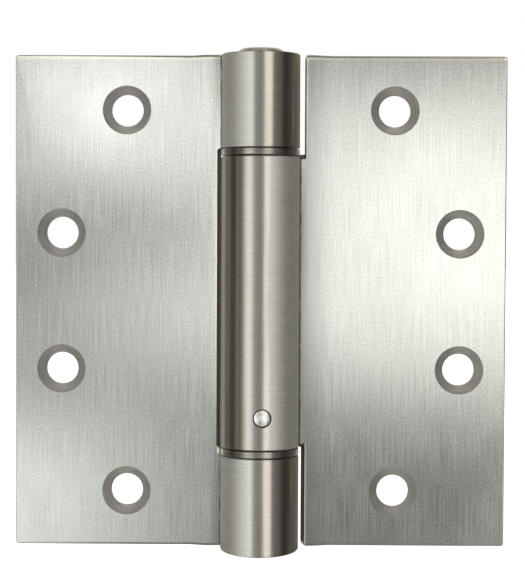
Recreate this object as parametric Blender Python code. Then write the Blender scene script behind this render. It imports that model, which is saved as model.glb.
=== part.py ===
"""Self-closing door hinge: two leaves, a spring barrel, and the pieces inside it.

The hinge lies open flat. X runs across the leaves (jamb leaf at -X, door leaf at +X), Z runs up the
pin axis, and +Y is the back, where the leaves meet the jamb and the door. The origin is on the pin
axis, halfway up.
"""

from math import asin, atan2, cos, pi, radians, sin, sqrt, tan

import bmesh
import bpy
from mathutils import Euler, Vector

MM = 0.001

# --- leaves -------------------------------------------------------------------------------------
LEAF_HEIGHT = 114.3 * MM
OPEN_WIDTH = 114.3 * MM
LEAF_THICKNESS = 3.4 * MM
BARREL_RADIUS = 9.05 * MM
BORE_RADIUS = BARREL_RADIUS - LEAF_THICKNESS
LEAF_FRONT = 3.8 * MM  # the flat of the leaf lies this far behind the pin axis
LEAF_BACK = LEAF_FRONT + LEAF_THICKNESS
SWAGE_OUTER = 9.5 * MM  # the leaf slopes back under the barrel between these distances from the axis
SWAGE_INNER = 2.5 * MM
SEAM_GAP = 0.3 * MM  # between the end of the curl and the leaf that it closes on

# --- knuckles and rings -------------------------------------------------------------------------
BARREL_END = 33.5 * MM  # half the length of the middle knuckle
KNUCKLE_START = 35.45 * MM  # where the end knuckles begin, above and below the middle
RING_GAP = 0.2 * MM
RING_RADIUS = BARREL_RADIUS
JAMB_NOTCH_EDGE = 10.0 * MM
DOOR_NOTCH_EDGE = 10.3 * MM

# --- screw holes --------------------------------------------------------------------------------
SCREW_HOLE_RADIUS = 3.7 * MM
COUNTERSINK_RADIUS = 5.73 * MM
COUNTERSINK_HALF_ANGLE = radians(41)
SCREW_HOLES = (  # distance from the axis, height
    (31.2 * MM, 44.45 * MM),
    (46.45 * MM, 15.875 * MM),
    (46.45 * MM, -15.875 * MM),
    (31.2 * MM, -44.45 * MM),
)

# --- pieces inside ------------------------------------------------------------------------------
RUNNING_GAP = 0.1 * MM
PINTLE_RADIUS = 4.5 * MM
BUSH_OUTER = BORE_RADIUS - RUNNING_GAP
BUSH_INNER = PINTLE_RADIUS + RUNNING_GAP
RING_BORE = PINTLE_RADIUS + 2 * RUNNING_GAP
END_PROUD = 1.1 * MM  # how far the plug and the winder stand out of the end knuckles
END_BEVEL = 1.0 * MM
COLLAR_RADIUS = 5.5 * MM
COLLAR_TOP = -20.0 * MM
PINTLE_FOOT = 24.1 * MM
NOSE_RADIUS = 2.5 * MM
NOSE_LENGTH = 7.0 * MM
SLOT_WIDTH = 2.6 * MM
HEX_ACROSS_FLATS = 5.0 * MM
HEX_DEPTH = 9.0 * MM

# --- spring -------------------------------------------------------------------------------------
WIRE_RADIUS = 1.1 * MM
COIL_RADIUS = 4.2 * MM
COIL_TURNS = 17
COIL_CLEARANCE = 0.2 * MM
HOOK_RADIUS = 1.3 * MM
HOOK_TIP = 2.0 * MM
POINTS_PER_TURN = 14

# --- pins ---------------------------------------------------------------------------------------
LOCK_PIN_RADIUS = 1.85 * MM
LOCK_HOLE_RADIUS = 2.14 * MM
LOCK_PIN_HEIGHT = -26.1 * MM
LOCK_PIN_ANGLE = radians(-85.4)  # from +X about Z, so it faces the front
LOCK_PIN_FOOT = 3.4 * MM
LOCK_PIN_CROWN = 0.9 * MM
WINDER_HOLES = 4
WINDER_HOLE_RADIUS = 2.0 * MM
WINDER_HOLE_FLOOR = 3.1 * MM
ANCHOR_PIN_RADIUS = 1.25 * MM
ANCHOR_PIN_FOOT = 1.5 * MM
ANCHOR_PIN_HEIGHT = 46.0 * MM

ROUND_SEGMENTS = 48
HOLE_SEGMENTS = 32
PIN_SEGMENTS = 24
OVERSHOOT = 2.0 * MM  # how far a cutter runs past the face that it cuts


def clear_scene():
    for obj in list(bpy.data.objects):
        bpy.data.objects.remove(obj)


def metal(name, color, roughness):
    material = bpy.data.materials.new(name)
    material.use_nodes = True
    shader = material.node_tree.nodes["Principled BSDF"]
    shader.inputs["Base Color"].default_value = (*color, 1.0)
    shader.inputs["Metallic"].default_value = 1.0
    shader.inputs["Roughness"].default_value = roughness
    return material


def add_object(name, data, parent=None, material=None):
    obj = bpy.data.objects.new(name, data)
    bpy.context.scene.collection.objects.link(obj)
    obj.parent = parent
    if material:
        data.materials.append(material)
    return obj


def add_axis(name, location=(0, 0, 0)):
    """An empty on a joint's axis, which carries the pieces that move about it."""
    axis = add_object(name, None)
    axis.location = location
    return axis


def to_mesh(bm, name, smooth_below=None):
    bmesh.ops.recalc_face_normals(bm, faces=bm.faces)
    mesh = bpy.data.meshes.new(name)
    bm.to_mesh(mesh)
    bm.free()
    if smooth_below:
        mesh.shade_smooth()
        mesh.set_sharp_from_angle(angle=smooth_below)
    return mesh


def extruded_mesh(name, outline, bottom, top, smooth_below=None):
    """A prism with the given XY outline between two heights."""
    bm = bmesh.new()
    floor = bm.faces.new([bm.verts.new((x, y, bottom)) for x, y in outline])
    raised = bmesh.ops.extrude_face_region(bm, geom=[floor])
    lifted = [item for item in raised["geom"] if isinstance(item, bmesh.types.BMVert)]
    bmesh.ops.translate(bm, verts=lifted, vec=(0, 0, top - bottom))
    return to_mesh(bm, name, smooth_below)


def turned_mesh(name, profile, segments):
    """A solid, or a ring, of revolution about Z. The profile is a closed loop of (radius, z)."""
    bm = bmesh.new()
    loop = [bm.verts.new((radius, 0, z)) for radius, z in profile]
    edges = [bm.edges.new((a, b)) for a, b in zip(loop, loop[1:] + loop[:1])]
    bmesh.ops.spin(
        bm,
        geom=loop + edges,
        axis=(0, 0, 1),
        cent=(0, 0, 0),
        angle=2 * pi,
        steps=segments,
        use_merge=True,
    )
    bmesh.ops.remove_doubles(bm, verts=bm.verts, dist=1e-7)
    on_axis = [e for e in bm.edges if not e.link_faces]
    bmesh.ops.delete(bm, geom=on_axis, context="EDGES")
    return to_mesh(bm, name, radians(35))


def cutter(name, mesh, parent=None):
    obj = add_object(name, mesh, parent)
    obj.hide_render = True
    obj.display_type = "WIRE"
    return obj


def box_cutter(name, low, high):
    outline = ((low[0], low[1]), (high[0], low[1]), (high[0], high[1]), (low[0], high[1]))
    return cutter(name, extruded_mesh(name, outline, low[2], high[2]))


def radial_cutter(name, radius, angle, inner, outer, height):
    """A round cutter that lies along a radius of the barrel."""
    profile = ((0, inner), (radius, inner), (radius, outer), (0, outer))
    obj = cutter(name, turned_mesh(name, profile, PIN_SEGMENTS))
    obj.rotation_euler = Euler((0, pi / 2, angle))
    obj.location = (0, 0, height)
    return obj


def cut(obj, tool):
    boolean = obj.modifiers.new(tool.name, "BOOLEAN")
    boolean.operation = "DIFFERENCE"
    boolean.object = tool


def arc(radius, start, stop, steps):
    angles = (start + (stop - start) * i / steps for i in range(steps + 1))
    return [(radius * cos(a), radius * sin(a)) for a in angles]


def leaf_outline(side):
    """Cross-section of a leaf that lies towards side * X and curls round the pin axis.

    The leaf slopes back under the barrel, the curl goes round the front, and its end is cut
    parallel to the leaf, which it meets across a narrow seam.
    """
    edge = OPEN_WIDTH / 2
    seam = LEAF_FRONT - SEAM_GAP
    outer_end = 2 * pi + asin(seam / BARREL_RADIUS)
    inner_end = 2 * pi + asin(seam / BORE_RADIUS)
    outline = [(edge, LEAF_BACK), (SWAGE_OUTER, LEAF_BACK), (SWAGE_INNER, BARREL_RADIUS)]
    outline += arc(BARREL_RADIUS, pi / 2, outer_end, ROUND_SEGMENTS)
    outline += arc(BORE_RADIUS, inner_end, pi / 2, ROUND_SEGMENTS)
    outline += [(SWAGE_INNER, BORE_RADIUS), (SWAGE_OUTER, LEAF_FRONT), (edge, LEAF_FRONT)]
    return [(side * x, y) for x, y in outline]


def countersink_mesh():
    """Tool for a countersunk screw hole. Z is the depth below the leaf's front face."""
    slope = tan(COUNTERSINK_HALF_ANGLE)
    cone_depth = (COUNTERSINK_RADIUS - SCREW_HOLE_RADIUS) / slope
    through = LEAF_THICKNESS + OVERSHOOT
    profile = (
        (0, -OVERSHOOT),
        (COUNTERSINK_RADIUS + OVERSHOOT * slope, -OVERSHOOT),
        (SCREW_HOLE_RADIUS, cone_depth),
        (SCREW_HOLE_RADIUS, through),
        (0, through),
    )
    return turned_mesh("countersink", profile, HOLE_SEGMENTS)


def make_leaf(name, side, parent, material):
    half = LEAF_HEIGHT / 2
    mesh = extruded_mesh(name, leaf_outline(side), -half, half, radians(20))
    leaf = add_object(name, mesh, parent, material)
    tool_mesh = countersink_mesh()
    for number, (reach, height) in enumerate(SCREW_HOLES, start=1):
        tool = cutter(f"{name}_screw_hole_{number}", tool_mesh)
        tool.location = (side * reach, LEAF_FRONT, height)
        tool.rotation_euler = (-pi / 2, 0, 0)
        cut(leaf, tool)
    return leaf


def make_jamb_leaf(material):
    """Left leaf, with a knuckle at each end and a notch between them for the barrel."""
    leaf = make_leaf("jamb_leaf", -1, None, material)
    reach = BARREL_RADIUS + OVERSHOOT
    low = (-JAMB_NOTCH_EDGE, -reach, -KNUCKLE_START)
    high = (reach, reach, KNUCKLE_START)
    cut(leaf, box_cutter("jamb_notch", low, high))
    anchor = (ANCHOR_PIN_RADIUS + RUNNING_GAP, pi / 2, ANCHOR_PIN_FOOT, reach, ANCHOR_PIN_HEIGHT)
    cut(leaf, radial_cutter("anchor_hole_knuckle", *anchor))


def make_door_leaf(parent, material):
    """Right leaf, with the long spring barrel and a notch at each end for the end knuckles."""
    leaf = make_leaf("door_leaf", 1, parent, material)
    reach = BARREL_RADIUS + OVERSHOOT
    past_end = LEAF_HEIGHT / 2 + OVERSHOOT
    for name, near, far in (("upper", BARREL_END, past_end), ("lower", -past_end, -BARREL_END)):
        low = (-reach, -reach, near)
        high = (DOOR_NOTCH_EDGE, reach, far)
        cut(leaf, box_cutter(f"door_notch_{name}", low, high))
    hole = (LOCK_HOLE_RADIUS, LOCK_PIN_ANGLE, BORE_RADIUS / 2, reach, LOCK_PIN_HEIGHT)
    cut(leaf, radial_cutter("lock_hole_barrel", *hole))


def make_ring(name, side, parent, material):
    """Bearing ring between the barrel and an end knuckle, above (1) or below (-1) the middle."""
    near = side * (BARREL_END + RING_GAP)
    far = side * (KNUCKLE_START - RING_GAP)
    profile = ((RING_BORE, near), (RING_RADIUS, near), (RING_RADIUS, far), (RING_BORE, far))
    add_object(name, turned_mesh(name, profile, ROUND_SEGMENTS), parent, material)


def make_bush(name, bottom, top, parent, material):
    profile = ((BUSH_INNER, bottom), (BUSH_OUTER, bottom), (BUSH_OUTER, top), (BUSH_INNER, top))
    add_object(name, turned_mesh(name, profile, ROUND_SEGMENTS), parent, material)


def cut_spring_slot(obj, low, high):
    """The slot across a nose, along X, that holds the spring's bent end."""
    reach = NOSE_RADIUS + OVERSHOOT
    half = SLOT_WIDTH / 2
    cut(obj, box_cutter(f"{obj.name}_slot", (-reach, -half, low), (reach, half, high)))


def make_top_plug(material):
    """Plug fixed in the top knuckle: raised end, pintle for the barrel, nose for the spring."""
    end = LEAF_HEIGHT / 2
    body = BORE_RADIUS - RUNNING_GAP
    shoulder = KNUCKLE_START + RING_GAP / 2
    nose_tip = PINTLE_FOOT - NOSE_LENGTH
    profile = (
        (0, end + END_PROUD),
        (body - END_BEVEL, end + END_PROUD),
        (body, end + RING_GAP / 2),
        (body, shoulder),
        (PINTLE_RADIUS, shoulder),
        (PINTLE_RADIUS, PINTLE_FOOT),
        (NOSE_RADIUS, PINTLE_FOOT),
        (NOSE_RADIUS, nose_tip),
        (0, nose_tip),
    )
    plug = add_object("top_plug", turned_mesh("top_plug", profile, ROUND_SEGMENTS), None, material)
    cut_spring_slot(plug, nose_tip - OVERSHOOT, PINTLE_FOOT - COIL_CLEARANCE / 2)
    reach = BARREL_RADIUS + OVERSHOOT
    floor = ANCHOR_PIN_FOOT - RUNNING_GAP
    anchor = (ANCHOR_PIN_RADIUS + RUNNING_GAP, pi / 2, floor, reach, ANCHOR_PIN_HEIGHT)
    cut(plug, radial_cutter("anchor_hole_plug", *anchor))


def make_winder(parent, material):
    """Tension cylinder: collar with lock holes, shaft through the bottom knuckle, hex socket."""
    end = -LEAF_HEIGHT / 2 - END_PROUD
    collar_foot = -BARREL_END
    nose_tip = COLLAR_TOP + NOSE_LENGTH
    chamfer = END_BEVEL / 2
    profile = (
        (0, nose_tip),
        (NOSE_RADIUS, nose_tip),
        (NOSE_RADIUS, COLLAR_TOP),
        (COLLAR_RADIUS, COLLAR_TOP),
        (COLLAR_RADIUS, collar_foot),
        (PINTLE_RADIUS, collar_foot),
        (PINTLE_RADIUS, end + chamfer),
        (PINTLE_RADIUS - chamfer, end),
        (0, end),
    )
    winder = add_object("winder", turned_mesh("winder", profile, ROUND_SEGMENTS), parent, material)
    cut_spring_slot(winder, COLLAR_TOP + COIL_CLEARANCE / 2, nose_tip + OVERSHOOT)
    for number in range(WINDER_HOLES):
        angle = LOCK_PIN_ANGLE + 2 * pi * number / WINDER_HOLES
        outer = COLLAR_RADIUS + OVERSHOOT
        hole = (WINDER_HOLE_RADIUS, angle, WINDER_HOLE_FLOOR, outer, LOCK_PIN_HEIGHT)
        cut(winder, radial_cutter(f"winder_hole_{number + 1}", *hole))
    hexagon = arc(HEX_ACROSS_FLATS / 2 / cos(pi / 6), 0, 2 * pi, 6)[:-1]
    socket = extruded_mesh("hex_socket", hexagon, end - OVERSHOOT, end + HEX_DEPTH)
    cut(winder, cutter("hex_socket", socket))


def hook_points(height):
    """The spring's end: from the coil round a small bend, then straight across the middle."""
    bend_x = sqrt((COIL_RADIUS - HOOK_RADIUS) ** 2 - HOOK_RADIUS**2)
    leaves_coil = atan2(-HOOK_RADIUS, bend_x)
    steps = 5
    points = []
    for i in range(1, steps + 1):
        angle = leaves_coil + (pi / 2 - leaves_coil) * i / steps
        x = bend_x + HOOK_RADIUS * cos(angle)
        y = -HOOK_RADIUS + HOOK_RADIUS * sin(angle)
        points.append(Vector((x, y, height)))
    points.append(Vector((-HOOK_TIP, 0, height)))
    return leaves_coil, points


def spring_points():
    """Centre line of the spring wire, from the lower bent end up to the upper one."""
    bottom = COLLAR_TOP + COIL_CLEARANCE + WIRE_RADIUS
    top = PINTLE_FOOT - COIL_CLEARANCE - WIRE_RADIUS
    leaves_coil, upper_hook = hook_points(top)
    lower_hook = [Vector((p.x, -p.y, bottom)) for p in reversed(hook_points(bottom)[1])]
    start = -leaves_coil
    stop = 2 * pi * COIL_TURNS + leaves_coil
    count = COIL_TURNS * POINTS_PER_TURN
    coil = []
    for i in range(count + 1):
        angle = start + (stop - start) * i / count
        height = bottom + (top - bottom) * i / count
        coil.append(Vector((COIL_RADIUS * cos(angle), COIL_RADIUS * sin(angle), height)))
    return lower_hook + coil + upper_hook


def make_spring(material):
    curve = bpy.data.curves.new("torsion_spring", "CURVE")
    curve.dimensions = "3D"
    curve.bevel_depth = WIRE_RADIUS
    curve.bevel_resolution = 2
    curve.use_fill_caps = True
    points = spring_points()
    spline = curve.splines.new("POLY")
    spline.points.add(len(points) - 1)
    for knot, point in zip(spline.points, points):
        knot.co = (*point, 1.0)
    add_object("torsion_spring", curve, None, material)


def make_lock_pin(parent, material):
    """Round-ended pin that lies along a radius, from the winder out to the barrel's surface."""
    length = BARREL_RADIUS - LOCK_PIN_FOOT
    crown_base = length - LOCK_PIN_CROWN
    sphere = (LOCK_PIN_RADIUS**2 + LOCK_PIN_CROWN**2) / (2 * LOCK_PIN_CROWN)
    half_angle = asin(LOCK_PIN_RADIUS / sphere)
    steps = 5
    crown = []
    for i in range(steps + 1):
        angle = half_angle * (1 - i / steps)
        crown.append((sphere * sin(angle), crown_base + sphere * (cos(angle) - cos(half_angle))))
    crown[-1] = (0, length)
    profile = [(0, 0), (LOCK_PIN_RADIUS, 0)] + crown
    pin = add_object("lock_pin", turned_mesh("lock_pin", profile, PIN_SEGMENTS), parent, material)
    pin.rotation_euler = Euler((0, pi / 2, LOCK_PIN_ANGLE))


def make_anchor_pin(material):
    """Cross pin through the back of the top knuckle into the plug, flush with the outside."""
    low, high = ANCHOR_PIN_FOOT, BARREL_RADIUS - RUNNING_GAP
    profile = ((0, low), (ANCHOR_PIN_RADIUS, low), (ANCHOR_PIN_RADIUS, high), (0, high))
    mesh = turned_mesh("anchor_pin", profile, PIN_SEGMENTS)
    pin = add_object("anchor_pin", mesh, None, material)
    pin.location = (0, 0, ANCHOR_PIN_HEIGHT)
    pin.rotation_euler = Euler((0, pi / 2, pi / 2))


def main():
    clear_scene()
    satin = metal("satin_stainless", (0.56, 0.55, 0.51), 0.36)
    ring_steel = metal("ring_steel", (0.60, 0.58, 0.54), 0.30)
    turned_steel = metal("turned_steel", (0.52, 0.51, 0.48), 0.30)
    bright_steel = metal("bright_steel", (0.74, 0.72, 0.68), 0.18)
    spring_steel = metal("spring_steel", (0.20, 0.20, 0.21), 0.42)
    bronze = metal("bronze", (0.55, 0.38, 0.18), 0.40)

    door_axis = add_axis("door_axis")
    upper_ring_axis = add_axis("upper_ring_axis")
    lower_ring_axis = add_axis("lower_ring_axis")
    foot_x, foot_y = arc(LOCK_PIN_FOOT, LOCK_PIN_ANGLE, LOCK_PIN_ANGLE, 1)[0]
    lock_axis = add_axis("lock_pin_axis", (foot_x, foot_y, LOCK_PIN_HEIGHT))

    make_jamb_leaf(satin)
    make_door_leaf(door_axis, satin)
    make_ring("upper_thrust_ring", 1, upper_ring_axis, ring_steel)
    make_ring("lower_thrust_ring", -1, lower_ring_axis, ring_steel)
    make_top_plug(turned_steel)
    make_winder(door_axis, turned_steel)
    make_bush("upper_bush", PINTLE_FOOT + 0.5 * MM, BARREL_END - RING_GAP, door_axis, bronze)
    make_bush("lower_bush", -LEAF_HEIGHT / 2 + 0.3 * MM, -KNUCKLE_START - RING_GAP, None, bronze)
    make_spring(spring_steel)
    make_lock_pin(lock_axis, bright_steel)
    make_anchor_pin(turned_steel)


main()
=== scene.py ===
"""Looks for a self-closing door hinge in satin stainless steel, lying open flat.

X runs across the leaves, Z up the pin axis and +Y is the back. The two leaves are made as sheet
metal is: a flat blank with its holes and rounded edges is rolled along the leaf's cross-section.
"""

from math import asin, atan2, cos, pi, radians, sin, sqrt, tan
from typing import NamedTuple

import bmesh
import bpy
from mathutils import Euler, Matrix, Vector


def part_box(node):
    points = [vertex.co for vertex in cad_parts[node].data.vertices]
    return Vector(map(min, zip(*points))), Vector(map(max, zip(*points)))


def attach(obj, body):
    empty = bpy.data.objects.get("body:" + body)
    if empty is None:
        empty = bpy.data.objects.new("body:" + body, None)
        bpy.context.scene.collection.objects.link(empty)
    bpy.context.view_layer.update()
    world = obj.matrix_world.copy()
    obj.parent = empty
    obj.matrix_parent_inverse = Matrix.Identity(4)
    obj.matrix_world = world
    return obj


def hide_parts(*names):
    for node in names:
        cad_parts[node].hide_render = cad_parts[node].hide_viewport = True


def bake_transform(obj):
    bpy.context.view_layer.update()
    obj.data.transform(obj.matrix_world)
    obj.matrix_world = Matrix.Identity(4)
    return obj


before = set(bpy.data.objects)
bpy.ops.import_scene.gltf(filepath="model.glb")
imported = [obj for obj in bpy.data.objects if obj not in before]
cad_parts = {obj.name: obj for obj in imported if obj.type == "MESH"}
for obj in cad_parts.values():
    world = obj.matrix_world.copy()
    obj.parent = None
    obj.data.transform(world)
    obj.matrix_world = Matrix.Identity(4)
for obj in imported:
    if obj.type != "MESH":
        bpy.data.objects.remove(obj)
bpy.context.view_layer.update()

MM = 0.001

# --- from the frame -----------------------------------------------------------------------------
leaf_low, leaf_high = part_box("jamb_leaf")
ring_low, ring_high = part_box("upper_thrust_ring")
plug_low, plug_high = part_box("top_plug")
_, winder_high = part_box("winder")
EDGE = -leaf_low.x
HALF_HEIGHT = leaf_high.z
BARREL_RADIUS = ring_high.x
RING_FOOT = ring_low.z
RING_HEAD = ring_high.z
PLUG_FOOT = plug_low.z
PROUD_END = plug_high.z
WINDER_TOP = winder_high.z
COLLAR_RADIUS = winder_high.x

# --- leaves -------------------------------------------------------------------------------------
THICKNESS = 3.4 * MM
LEAF_FRONT = 3.8 * MM
LEAF_MID = LEAF_FRONT + THICKNESS / 2
CURL_RADIUS = BARREL_RADIUS - THICKNESS / 2  # middle of the sheet, round the pin axis
BORE_RADIUS = BARREL_RADIUS - THICKNESS
SWAGE_OUTER = 12.5 * MM  # the sheet slopes back under the barrel between these distances
SWAGE_INNER = 0.8 * MM
SEAM_GAP = 0.3 * MM
RING_GAP = 0.2 * MM
BARREL_END = RING_FOOT - RING_GAP
KNUCKLE_START = RING_HEAD + RING_GAP
JAMB_NOTCH_EDGE = 10.0 * MM
DOOR_NOTCH_EDGE = 10.3 * MM
BESIDE_RING = 9.3 * MM  # the jamb leaf's lower corner reaches up beside the ring
RING_SHOULDER = RING_FOOT + 0.3 * MM
EDGE_ROUND = 0.32 * MM
CORNER_ROUND = 0.7 * MM
NOTCH_ROUND = 0.45 * MM
BEND_BULGE = 0.2 * MM  # the sheet's edges spread a little beside the barrel
BULGE_START = 17.0 * MM  # distance from the pin axis at which they begin to
BULGE_BLEND = 5.0 * MM
BULGE_HEIGHT = 4.0 * MM
RIM_HEIGHT = 1.0 * MM  # the barrel's ends change shape over this height
RIM_BLEND = 3.0 * MM  # and over this first stretch of the curl
TOP_CROWN = 0.2 * MM  # the top of the barrel falls away at its rim
TOP_RISE = 0.2 * MM  # and rises round the plug
FOOT_DROP = 0.75 * MM  # the foot of the barrel is cut a little lower in front
JAMB_WALL_LEAN = 0.85 * MM  # cut edges lean towards the barrel, from the front to the back
DOOR_WALL_LEAN = 0.12 * MM
DOOR_LOW_WALL_LEAN = 0.8 * MM
DOOR_FLOOR_LEAN = 0.95 * MM
WALL_START = 0.6 * MM  # a wall's lean sets in this far inside the leaf
WALL_BLEND = 0.5 * MM
WALL_RELEASE = 1.0 * MM  # the jamb leaf's lean is gone this far past the wall
FLOOR_START = 0.8 * MM  # a floor's lean sets in this far from the floor
FLOOR_BLEND = 0.7 * MM
FLOOR_END = 7.5 * MM  # a floor leans from its wall as far as this from the pin axis
BEND_REACH = 18.0 * MM  # the leaf needs edges across it from here to the curl
BEND_STEP = 0.5 * MM
ARC_STEP = radians(1.5)

# --- screw holes --------------------------------------------------------------------------------
SCREW_HOLE_RADIUS = 3.7 * MM
COUNTERSINK_RADIUS = 5.66 * MM
COUNTERSINK_HALF_ANGLE = radians(41)
EDGE_BREAK = 0.08 * MM
SCREW_HOLES = (
    (31.2 * MM, 44.45 * MM),
    (46.45 * MM, 15.875 * MM),
    (46.45 * MM, -15.875 * MM),
    (31.2 * MM, -44.45 * MM),
)

# --- pins and turned pieces ---------------------------------------------------------------------
PINTLE_RADIUS = 4.5 * MM
BUSH_GAP = 0.1 * MM
BUSH_SOFTNESS = 0.25 * MM
RING_BORE = 4.7 * MM
RING_SHRINK = 0.05 * MM
RING_SOFTNESS = 0.14 * MM
PLUG_RADIUS = BORE_RADIUS - 0.1 * MM
PLUG_WALL = 0.35 * MM  # it stands this far out of the knuckle below its bevel
PLUG_SHOULDER = RING_HEAD + 0.3 * MM
PLUG_SOFTNESS = 0.3 * MM
END_BEVEL = 1.0 * MM
NOSE_RADIUS = 2.5 * MM  # slotted ends of the plug and the winder, which hold the spring
NOSE_HEIGHT = 7.0 * MM
SLOT_LENGTH = 12.0 * MM
SLOT_WIDTH = 2.6 * MM
SLOT_FLOOR = 0.1 * MM
HEX_ACROSS_FLATS = 5.0 * MM
HEX_DEPTH = 9.0 * MM
HEX_LEAD_IN = 0.3 * MM
SHAFT_CHAMFER = 0.5 * MM
WINDER_SOFTNESS = 0.25 * MM
WINDER_HOLES = 4
WINDER_HOLE_RADIUS = 2.0 * MM
WINDER_HOLE_DEPTHS = (3.1 * MM, 9.0 * MM)
LOCK_PIN_RADIUS = 1.85 * MM
LOCK_PIN_FOOT = 3.4 * MM
LOCK_HOLE_RADIUS = 2.14 * MM
LOCK_HOLE_DEPTHS = (3.0 * MM, 20.0 * MM)
LOCK_PIN_HEIGHT = -26.1 * MM
LOCK_PIN_ANGLE = radians(-85.4)
LOCK_PIN_CROWN = 0.4 * MM
LOCK_PIN_CHAMFER = 0.3 * MM
ANCHOR_PIN_RADIUS = 1.25 * MM
ANCHOR_PIN_FOOT = 1.5 * MM
ANCHOR_PIN_RECESS = 0.1 * MM
ANCHOR_PIN_SOFTNESS = 0.15 * MM
ANCHOR_HOLE_RADIUS = ANCHOR_PIN_RADIUS + 0.05 * MM
ANCHOR_HOLE_DEPTHS = (2.0 * MM, 20.0 * MM)
ANCHOR_PIN_HEIGHT = 46.0 * MM
ANCHOR_PIN_ANGLE = pi / 2

# --- spring -------------------------------------------------------------------------------------
WIRE_RADIUS = 1.1 * MM
COIL_RADIUS = 4.2 * MM
COIL_TURNS = 17
HOOK_RADIUS = 1.3 * MM
HOOK_TIP = 2.0 * MM
COIL_SEGMENTS = 32
HOOK_SEGMENTS = 8

# --- where the finishes, painted shade and painted highlight change -----------------------------
FRONT_SIDE = (LEAF_MID + MM, LEAF_MID + 0.4 * MM)  # marks on the front fade out between these
# painted shade darkens the leaf beside its knuckle, and a painted cream highlight lies along its
# top edge
PAINTED_SEAM_SHADE_REACH = (BARREL_RADIUS + 0.5 * MM, BARREL_RADIUS + 0.15 * MM)
PAINTED_GLINT_EDGE = (HALF_HEIGHT - 1.3 * MM, HALF_HEIGHT - 0.5 * MM)
SHADE_REACH = (18.0 * MM, 9.5 * MM)  # the door leaf darkens towards the barrel
# painted shade on the knuckles, beside the leaves
PAINTED_ROOT_SHADE_DEPTHS = (4.8 * MM, 1.2 * MM)  # the knuckles darken towards the barrel's sides
LINISHED_START = 6.0 * MM  # distance from the pin axis at which the barrel's finish starts
DULL_ANGLES = (radians(282), radians(298))  # where the curl's finish turns dull, near its end
WORN_HEIGHT = 3.0 * MM  # middle of the stretch where the dull finish reaches further round
WORN_REACH = 14.0 * MM
WORN_SHIFT = 0.5 * MM

# --- fineness -----------------------------------------------------------------------------------
TURNED_SEGMENTS = 128
BORE_SEGMENTS = 96
LOCK_SEGMENTS = 64
PIN_SEGMENTS = 48
OVERSHOOT = 2.0 * MM  # how far a cutter reaches past the surface that it cuts
HAIR = 0.01 * MM

# --- camera and floor ---------------------------------------------------------------------------
LENS = 107.6  # on a sensor 36 wide
CAMERA_PLACE = (5.5 * MM, -404.6 * MM, 16.1 * MM)
CAMERA_HEADING = radians(0.70)
CAMERA_PITCH = radians(-1.98)
CAMERA_ROLL = radians(0.25)
FLOOR_HEIGHT = -0.12
FLOOR_REACH = 6.0


# --- node helpers -------------------------------------------------------------------------------
class Graph:
    """Short names for the few shader nodes that the materials and the world are built from."""

    def __init__(self, tree):
        self.tree = tree

    def add(self, kind, **settings):
        node = self.tree.nodes.new(kind)
        for name, value in settings.items():
            setattr(node, name, value)
        return node

    def feed(self, socket, value):
        if isinstance(value, bpy.types.NodeSocket):
            self.tree.links.new(value, socket)
        else:
            socket.default_value = value

    def math(self, operation, a, b=0.0):
        node = self.add("ShaderNodeMath", operation=operation)
        self.feed(node.inputs[0], a)
        self.feed(node.inputs[1], b)
        return node.outputs[0]

    def ramp(self, value, start, stop, low=0.0, high=1.0):
        """Smooth step from low, at start, to high, at stop."""
        node = self.add("ShaderNodeMapRange", interpolation_type="SMOOTHSTEP")
        for name, number in zip(
            ("Value", "From Min", "From Max", "To Min", "To Max"), (value, start, stop, low, high)
        ):
            self.feed(node.inputs[name], number)
        return node.outputs["Result"]

    def blend(self, share, a, b):
        node = self.add("ShaderNodeMix", data_type="FLOAT")
        self.feed(node.inputs["Factor"], share)
        self.feed(node.inputs["A"], a)
        self.feed(node.inputs["B"], b)
        return node.outputs["Result"]

    def tint(self, share, a, b):
        node = self.add("ShaderNodeMix", data_type="RGBA")
        self.feed(node.inputs["Factor"], share)
        for name, value in (("A", a), ("B", b)):
            socket = next(s for s in node.inputs if s.name == name and s.type == "RGBA")
            self.feed(socket, (*value, 1.0) if isinstance(value, tuple) else value)
        return next(s for s in node.outputs if s.type == "RGBA")

    def stretched(self, source, scale):
        node = self.add("ShaderNodeMapping")
        self.feed(node.inputs["Vector"], source)
        node.inputs["Scale"].default_value = scale
        return node.outputs["Vector"]

    def noise(self, vector, scale=1.0, detail=3.0, roughness=0.55):
        node = self.add("ShaderNodeTexNoise")
        self.feed(node.inputs["Vector"], vector)
        node.inputs["Scale"].default_value = scale
        node.inputs["Detail"].default_value = detail
        node.inputs["Roughness"].default_value = roughness
        return node.outputs["Fac"]

    def bump(self, height, distance, strength=1.0):
        node = self.add("ShaderNodeBump")
        self.feed(node.inputs["Height"], height)
        node.inputs["Distance"].default_value = distance
        node.inputs["Strength"].default_value = strength
        return node.outputs["Normal"]


def new_metal(name, anisotropy=0.0, turn=0.0):
    """A metal's graph and its shader. Colour, roughness and bump are wired by the caller."""
    material = bpy.data.materials.new(name)
    material.use_nodes = True
    graph = Graph(material.node_tree)
    shader = material.node_tree.nodes["Principled BSDF"]
    shader.inputs["Metallic"].default_value = 1.0
    shader.inputs["Anisotropic"].default_value = anisotropy
    shader.inputs["Anisotropic Rotation"].default_value = turn
    return material, graph, shader


# --- materials ----------------------------------------------------------------------------------
def use_sheet_tangent(g, shader):
    tangent = g.add("ShaderNodeTangent", direction_type="UV_MAP", uv_map="sheet")
    g.feed(shader.inputs["Tangent"], tangent.outputs["Tangent"])


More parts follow.
